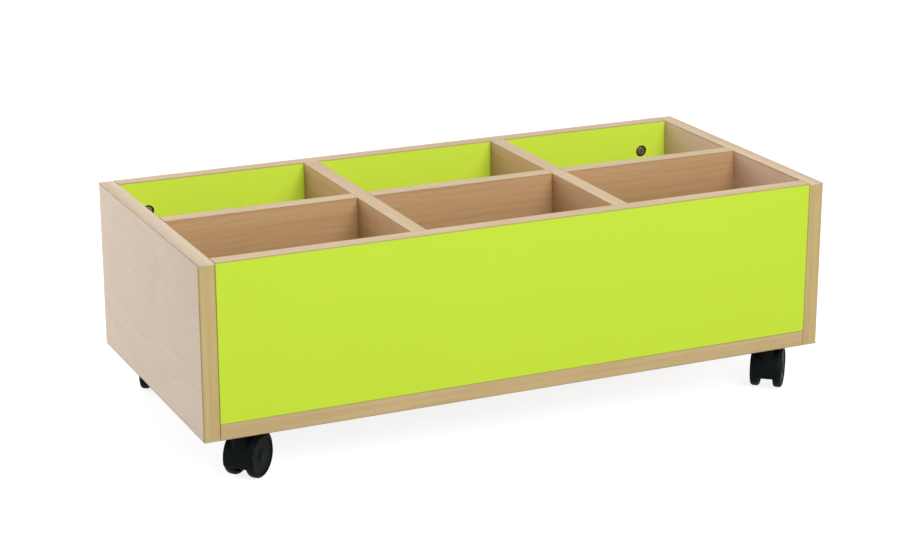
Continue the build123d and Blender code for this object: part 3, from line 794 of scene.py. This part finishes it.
# %% Eight wheels
WHEEL = {
    "Radius": 25.0 * MM, "Width": 10.8 * MM, "Shoulder": 3.5 * MM, "Dish": 1.2 * MM, "Rim": 4.0 * MM,
    "Hub Radius": 7.0 * MM, "Bore Radius": 3.05 * MM, "Wall": 3.0 * MM, "Rib": 1.6 * MM, "Ribs": 8,
    "Softness": 0.5 * MM, "Nylon": wheel_nylon,
}
for caster in CASTERS:
    for side in ("left", "right"):
        node = "caster_" + caster + "_wheel_" + side
        joint = JOINTS[caster + "_wheel_" + side + "_spin"]
        low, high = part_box(node)
        middle = (low + high) / 2
        outwards = middle - Vector(joint["pos_m"])
        wheel = make("wheel_" + caster + "_" + side, wheel_recipe, WHEEL)
        wheel.data.transform(Matrix.Translation(middle) @ outwards.to_track_quat("Z", "Y").to_matrix().to_4x4())
        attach(wheel, caster + "_wheel_" + side)
        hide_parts(node)
print("wheels:", 8, "of", len(wheel.data.polygons), "faces")

# %% [markdown]
# ## Screws
# Two kinds of screw hold the bin: long countersunk ones through the bottom board, and short pan heads in the
# caster plates. One recipe turns either: head, shank and point are a single profile, and two crossed bars cut
# the drive. The screws' places are read off the frame, where each screw is a loose solid of its node, and the
# recipe sets a screw on each place, turned by a random amount, because nobody lines up screw heads.

# %% Places of loose solids
def loose_solids(node):
    """Lowest and highest corner of each separate solid of a frame node, in a steady order."""
    solid = bmesh.new()
    solid.from_mesh(nodes[node].data)
    bmesh.ops.remove_doubles(solid, verts=solid.verts, dist=WELD)
    waiting = dict.fromkeys(solid.verts)
    boxes = []
    while waiting:
        start, _ = waiting.popitem()
        reached = [start]
        for vertex in reached:
            for edge in vertex.link_edges:
                other = edge.other_vert(vertex)
                if other in waiting:
                    del waiting[other]
                    reached.append(other)
        spots = [vertex.co for vertex in reached]
        low = Vector([min(spot[axis] for spot in spots) for axis in range(3)])
        high = Vector([max(spot[axis] for spot in spots) for axis in range(3)])
        boxes.append((low, high))
    solid.free()
    return sorted(boxes, key=lambda box: tuple(round(value / MM) for value in box[0]))


def places_mesh(name, places):
    """Loose points that know which way a fitting faces and where its side points."""
    mesh = bpy.data.meshes.new(name)
    mesh.from_pydata([spot for spot, _, _ in places], [], [])
    for title, column in (("facing", 1), ("sideways", 2)):
        layer = mesh.attributes.new(title, "FLOAT_VECTOR", "POINT")
        for number, place in enumerate(places):
            layer.data[number].vector = place[column]
    return mesh


def on_places(bench, points, fitting, extra_turn=None):
    """Sets a fitting on each place, its top towards facing and its +X towards sideways."""
    def known(title):
        return bench.add("GeometryNodeInputNamedAttribute", {"data_type": "FLOAT_VECTOR"}, {"Name": title})
    sockets = {"Primary Axis": known("facing"), "Secondary Axis": known("sideways")}
    turn = bench.add("FunctionNodeAxesToRotation", {"primary_axis": "Z", "secondary_axis": "X"}, sockets)
    if extra_turn:
        spin = bench.add("FunctionNodeAxisAngleToRotation", None, {"Angle": extra_turn})
        sockets = {"Rotation": turn, "Rotate By": spin}
        turn = bench.add("FunctionNodeRotateRotation", {"rotation_space": "LOCAL"}, sockets)
    sockets = {"Points": points, "Instance": fitting, "Rotation": turn}
    placed = bench.add("GeometryNodeInstanceOnPoints", None, sockets)
    return bench.add("GeometryNodeRealizeInstances", None, {"Geometry": placed})


print("loose screws in the frame:", [len(loose_solids(node)) for node in ("assembly_screws", "caster_screws")])

# %% Screw recipe
bench, size = new_recipe("driven_screw", {
    "Head Radius": "Float", "Head Foot Radius": "Float", "Head Top": "Float", "Head Foot": "Float",
    "Crown": "Float", "Shank Radius": "Float", "Tip": "Float", "Point": "Float",
    "Drive Span": "Float", "Drive Width": "Float", "Drive Depth": "Float", "Seed": "Int", "Zinc": "Material",
})
screw = turned(bench, [
    (0.0, size["Head Top"], 0.0), (size["Head Radius"], size["Head Top"], size["Crown"]),
    (size["Head Foot Radius"], size["Head Foot"], 0.0), (size["Shank Radius"], size["Head Foot"], 0.0),
    (size["Shank Radius"], size["Tip"] + size["Point"], 0.0), (0.0, size["Tip"], 0.0),
], SCREW_STEPS)
drive = bench.whole(z=size["Head Top"])
cut_along = bar(bench, size["Drive Span"], size["Drive Width"], 2 * size["Drive Depth"], drive)
cut_across = bar(bench, size["Drive Width"], size["Drive Span"], 2 * size["Drive Depth"], drive)
screw = boolean(bench, "DIFFERENCE", screw, [cut_along, cut_across])
sockets = {2: 0.0, 3: 2 * math.pi, "Seed": size["Seed"]}
turn = bench.add("FunctionNodeRandomValue", {"data_type": "FLOAT"}, sockets)
screw_recipe = close_recipe(bench, on_places(bench, size["Geometry"], screw, turn), size["Zinc"])

# %% Countersunk screws and pan heads
DOWN = Vector((0.0, 0.0, -1.0))
ALONG = Vector((1.0, 0.0, 0.0))


def screw_points(node, foot):
    """Points at the level where the heads sit, foot above the lowest point of each screw."""
    boxes = loose_solids(node)
    middles = [((low + high) / 2, low.z + foot) for low, high in boxes]
    return places_mesh(node, [((middle.x, middle.y, level), DOWN, ALONG) for middle, level in middles])


COUNTERSUNK = {
    "Head Radius": 4.5 * MM, "Head Foot Radius": 2.55 * MM, "Head Top": 0.0, "Head Foot": -2.0 * MM,
    "Crown": 0.2 * MM, "Shank Radius": 2.5 * MM, "Tip": -50.0 * MM, "Point": 5.0 * MM,
    "Drive Span": 5.0 * MM, "Drive Width": 1.1 * MM, "Drive Depth": 2.2 * MM, "Seed": 11, "Zinc": zinc,
}
PAN_HEAD = {
    "Head Radius": 3.8 * MM, "Head Foot Radius": 3.8 * MM, "Head Top": 2.4 * MM, "Head Foot": 0.0,
    "Crown": 1.5 * MM, "Shank Radius": 2.0 * MM, "Tip": -15.0 * MM, "Point": 3.0 * MM,
    "Drive Span": 4.0 * MM, "Drive Width": 1.0 * MM, "Drive Depth": 1.2 * MM, "Seed": 5, "Zinc": zinc,
}
for node, sizes, foot in (("assembly_screws", COUNTERSUNK, 0.0), ("caster_screws", PAN_HEAD, 2.4 * MM)):
    screws = make("made_" + node, screw_recipe, sizes, screw_points(node, foot))
    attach(screws, "bin")
    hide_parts(node)
    print(node, len(screws.data.polygons), "faces")

# %% [markdown]
# ## Cams
# A cam is a die-cast drum in a 15 mm hole. Its bolt enters through a bore in the side, and a quarter turn
# with a screwdriver pulls the bolt tight along the slot. Its face is a raised boss in a lowered ring, and the
# ring is coloured dark, which is painted shade. The recipe turns the drum, cuts the bore, the slot and the seat
# for the bolt's ball head, then cuts the cross recess, which ends at a slightly different angle on every cam,
# as it does when each is tightened by hand.

# %% Cam recipe
bench, size = new_recipe("cam", {
    "Radius": "Float", "Boss": "Float", "Ledge": "Float", "Face": "Float", "Back": "Float",
    "Chamfer": "Float", "Head Radius": "Float", "Neck Radius": "Float",
    "Recess Span": "Float", "Recess Width": "Float", "Recess Depth": "Float",
    "Play": "Float", "Seed": "Int", "Zinc": "Material",
})
ledge = size["Face"] - size["Ledge"]
drum = mark_radius(bench, turned(bench, [
    (0.0, size["Face"], 0.0), (size["Boss"], size["Face"], size["Chamfer"]), (size["Boss"], ledge, 0.0),
    (size["Radius"], ledge, size["Chamfer"]),
    (size["Radius"], -size["Back"], size["Chamfer"]), (0.0, -size["Back"], 0.0),
], CAM_STEPS))
reach = 2 * size["Radius"]


def drilled(radius, turn):
    """A cutter for a bore from the cam's middle outwards, turned from Z to its direction."""
    sockets = {"Vertices": 24, "Radius": radius, "Depth": reach}
    drill = bench.add("GeometryNodeMeshCylinder", None, sockets)
    sockets = {"Geometry": drill, "Translation": bench.whole(z=reach / 2)}
    drill = bench.add("GeometryNodeTransform", None, sockets)
    return bench.add("GeometryNodeTransform", None, {"Geometry": drill, "Rotation": turn})


entry = drilled(size["Head Radius"], (-math.pi / 2, 0.0, 0.0))
neck = drilled(size["Neck Radius"], (0.0, math.pi / 2, 0.0))
seat = bench.add("GeometryNodeMeshUVSphere", None, {"Segments": 24, "Rings": 12, "Radius": size["Head Radius"]})
slot = bar(bench, reach, reach, 2 * size["Neck Radius"], bench.whole(reach / 2, reach / 2))
drum = on_places(bench, size["Geometry"], boolean(bench, "DIFFERENCE", drum, [seat, entry, neck, slot]))
sockets = {2: -size["Play"], 3: size["Play"], "Seed": size["Seed"]}
turn = bench.add("FunctionNodeRandomValue", {"data_type": "FLOAT"}, sockets)
deep = 2 * size["Recess Depth"]
face = bench.whole(z=size["Face"])
cuts = [bar(bench, size["Recess Span"], size["Recess Width"], deep, face),
        bar(bench, size["Recess Width"], size["Recess Span"], deep, face)]
cuts = [on_places(bench, size["Geometry"], cut, turn) for cut in cuts]
cam_recipe = close_recipe(bench, boolean(bench, "DIFFERENCE", drum, cuts), size["Zinc"])

# %% Twelve cams
CAM_FACE = 9.5 * MM        # from the bolt's centre line to the board's face


def cam_places():
    """Where each cam's bolt axis crosses the cam, which way its face looks, and where its bolt goes."""
    places = []
    for low, high in loose_solids("cam_housings"):
        middle, sides = (low + high) / 2, high - low
        bolt = Vector((math.copysign(1.0, middle.x), 0.0, 0.0))
        if sides.z < sides.y:
            places.append((Vector((middle.x, middle.y, low.z + CAM_FACE)), DOWN, bolt))
        else:
            inwards = Vector((0.0, -math.copysign(1.0, middle.y), 0.0))
            face_y = low.y if middle.y > 0 else high.y
            places.append((Vector((middle.x, face_y - inwards.y * CAM_FACE, middle.z)), inwards, bolt))
    return places


CAM = {
    "Radius": 7.4 * MM, "Boss": CAM_BOSS, "Ledge": 0.9 * MM, "Face": CAM_FACE, "Back": 4.5 * MM,
    "Chamfer": 0.4 * MM, "Head Radius": 3.6 * MM, "Neck Radius": 2.1 * MM,
    "Recess Span": 7.0 * MM, "Recess Width": 1.5 * MM, "Recess Depth": 2.2 * MM,
    "Play": math.radians(25), "Seed": 3, "Zinc": cam_zinc,
}
cams = make("made_cams", cam_recipe, CAM, places_mesh("cam_places", cam_places()))
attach(cams, "bin")
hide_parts("cam_housings")
print("cams:", len(cam_places()), "with", len(cams.data.polygons), "faces")

# %% [markdown]
# ## Hoods
# The hood is the caster's body: a shell over both treads, the web between the wheels and the neck round the
# kingpin, all one nylon moulding. In the construction they meet in sharp corners, and no mould has those. A
# copy of the hood gets a bead along its lower edge, is wrapped in a fine voxel skin, and a few passes of
# smoothing run the corners together, the way molten nylon fills a mould. The four hoods are alike, so each
# is the first one, moved and turned to its own kingpin.

# %% Hood skin
HOOD_VOXEL = 0.45 * MM
HOOD_PASSES = 6
HOOD_FACES_KEPT = 0.3           # of the voxel skin's faces
BEAD_RADIUS = 1.3 * MM
BEAD_HALF = 15.0 * MM
BEAD_DROP = math.radians(14)    # the shell's lower edge is this far below the axle
HOOD_MIDDLE = 27.4 * MM         # from the axle to the middle of the shell


def rod(solid, start, end, radius):
    """Adds a closed round rod between two points to a mesh in the making."""
    way = end - start
    place = Matrix.Translation((start + end) / 2) @ way.to_track_quat("Z", "Y").to_matrix().to_4x4()
    bmesh.ops.create_cone(solid, cap_ends=True, segments=20, radius1=radius, radius2=radius,
                          depth=way.length, matrix=place)


def hood_skin(caster):
    """The moulded skin of one caster's hood."""
    node = nodes["caster_" + caster + "_hood"]
    solid = bmesh.new()
    solid.from_mesh(node.data)
    bmesh.ops.remove_doubles(solid, verts=solid.verts, dist=WELD)
    joint = JOINTS[caster + "_wheel_left_spin"]
    axle, middle = Vector(joint["axis"]), Vector(joint["pos_m"])
    ahead = (Vector(JOINTS[caster + "_swivel"]["pos_m"]) - middle) * Vector((1.0, 1.0, 0.0))
    ahead.normalize()
    lip = middle + HOOD_MIDDLE * (ahead * math.cos(BEAD_DROP) + DOWN * math.sin(BEAD_DROP))
    rod(solid, lip - axle * BEAD_HALF, lip + axle * BEAD_HALF, BEAD_RADIUS)
    mesh = bpy.data.meshes.new("hood_skin")
    solid.to_mesh(mesh)
    solid.free()
    skin = bpy.data.objects.new("hood_skin", mesh)
    bpy.context.scene.collection.objects.link(skin)
    wrap = skin.modifiers.new("wrap", "REMESH")
    wrap.mode = "VOXEL"
    wrap.voxel_size = HOOD_VOXEL
    wrap.use_smooth_shade = True
    run = skin.modifiers.new("run", "SMOOTH")
    run.iterations = HOOD_PASSES
    thin = skin.modifiers.new("thin", "DECIMATE")
    thin.ratio = HOOD_FACES_KEPT
    plain = bpy.data.meshes.new_from_object(skin.evaluated_get(bpy.context.evaluated_depsgraph_get()))
    bpy.data.objects.remove(skin)
    return plain


def swivel_place(caster):
    """Where a caster's kingpin stands, turned as its axle is."""
    axle = Vector(JOINTS[caster + "_wheel_left_spin"]["axis"])
    stand = Matrix.Translation(Vector(JOINTS[caster + "_swivel"]["pos_m"]))
    return stand @ Matrix.Rotation(math.atan2(axle.y, axle.x), 4, "Z")


skin = hood_skin(CASTERS[0])
for caster in CASTERS:
    mesh = skin.copy()
    mesh.transform(swivel_place(caster) @ swivel_place(CASTERS[0]).inverted())
    mesh.materials.clear()
    mesh.materials.append(hood_nylon)
    hood = bpy.data.objects.new("hood_" + caster, mesh)
    bpy.context.scene.collection.objects.link(hood)
    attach(hood, caster + "_hood")
    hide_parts("caster_" + caster + "_hood")
print("hoods: 4 of", len(skin.polygons), "faces")

# %% [markdown]
# ## Closing the lesson
# Last, the box of what is shown now is measured, as the construction box was at the start.

# %% Finish
low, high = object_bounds()
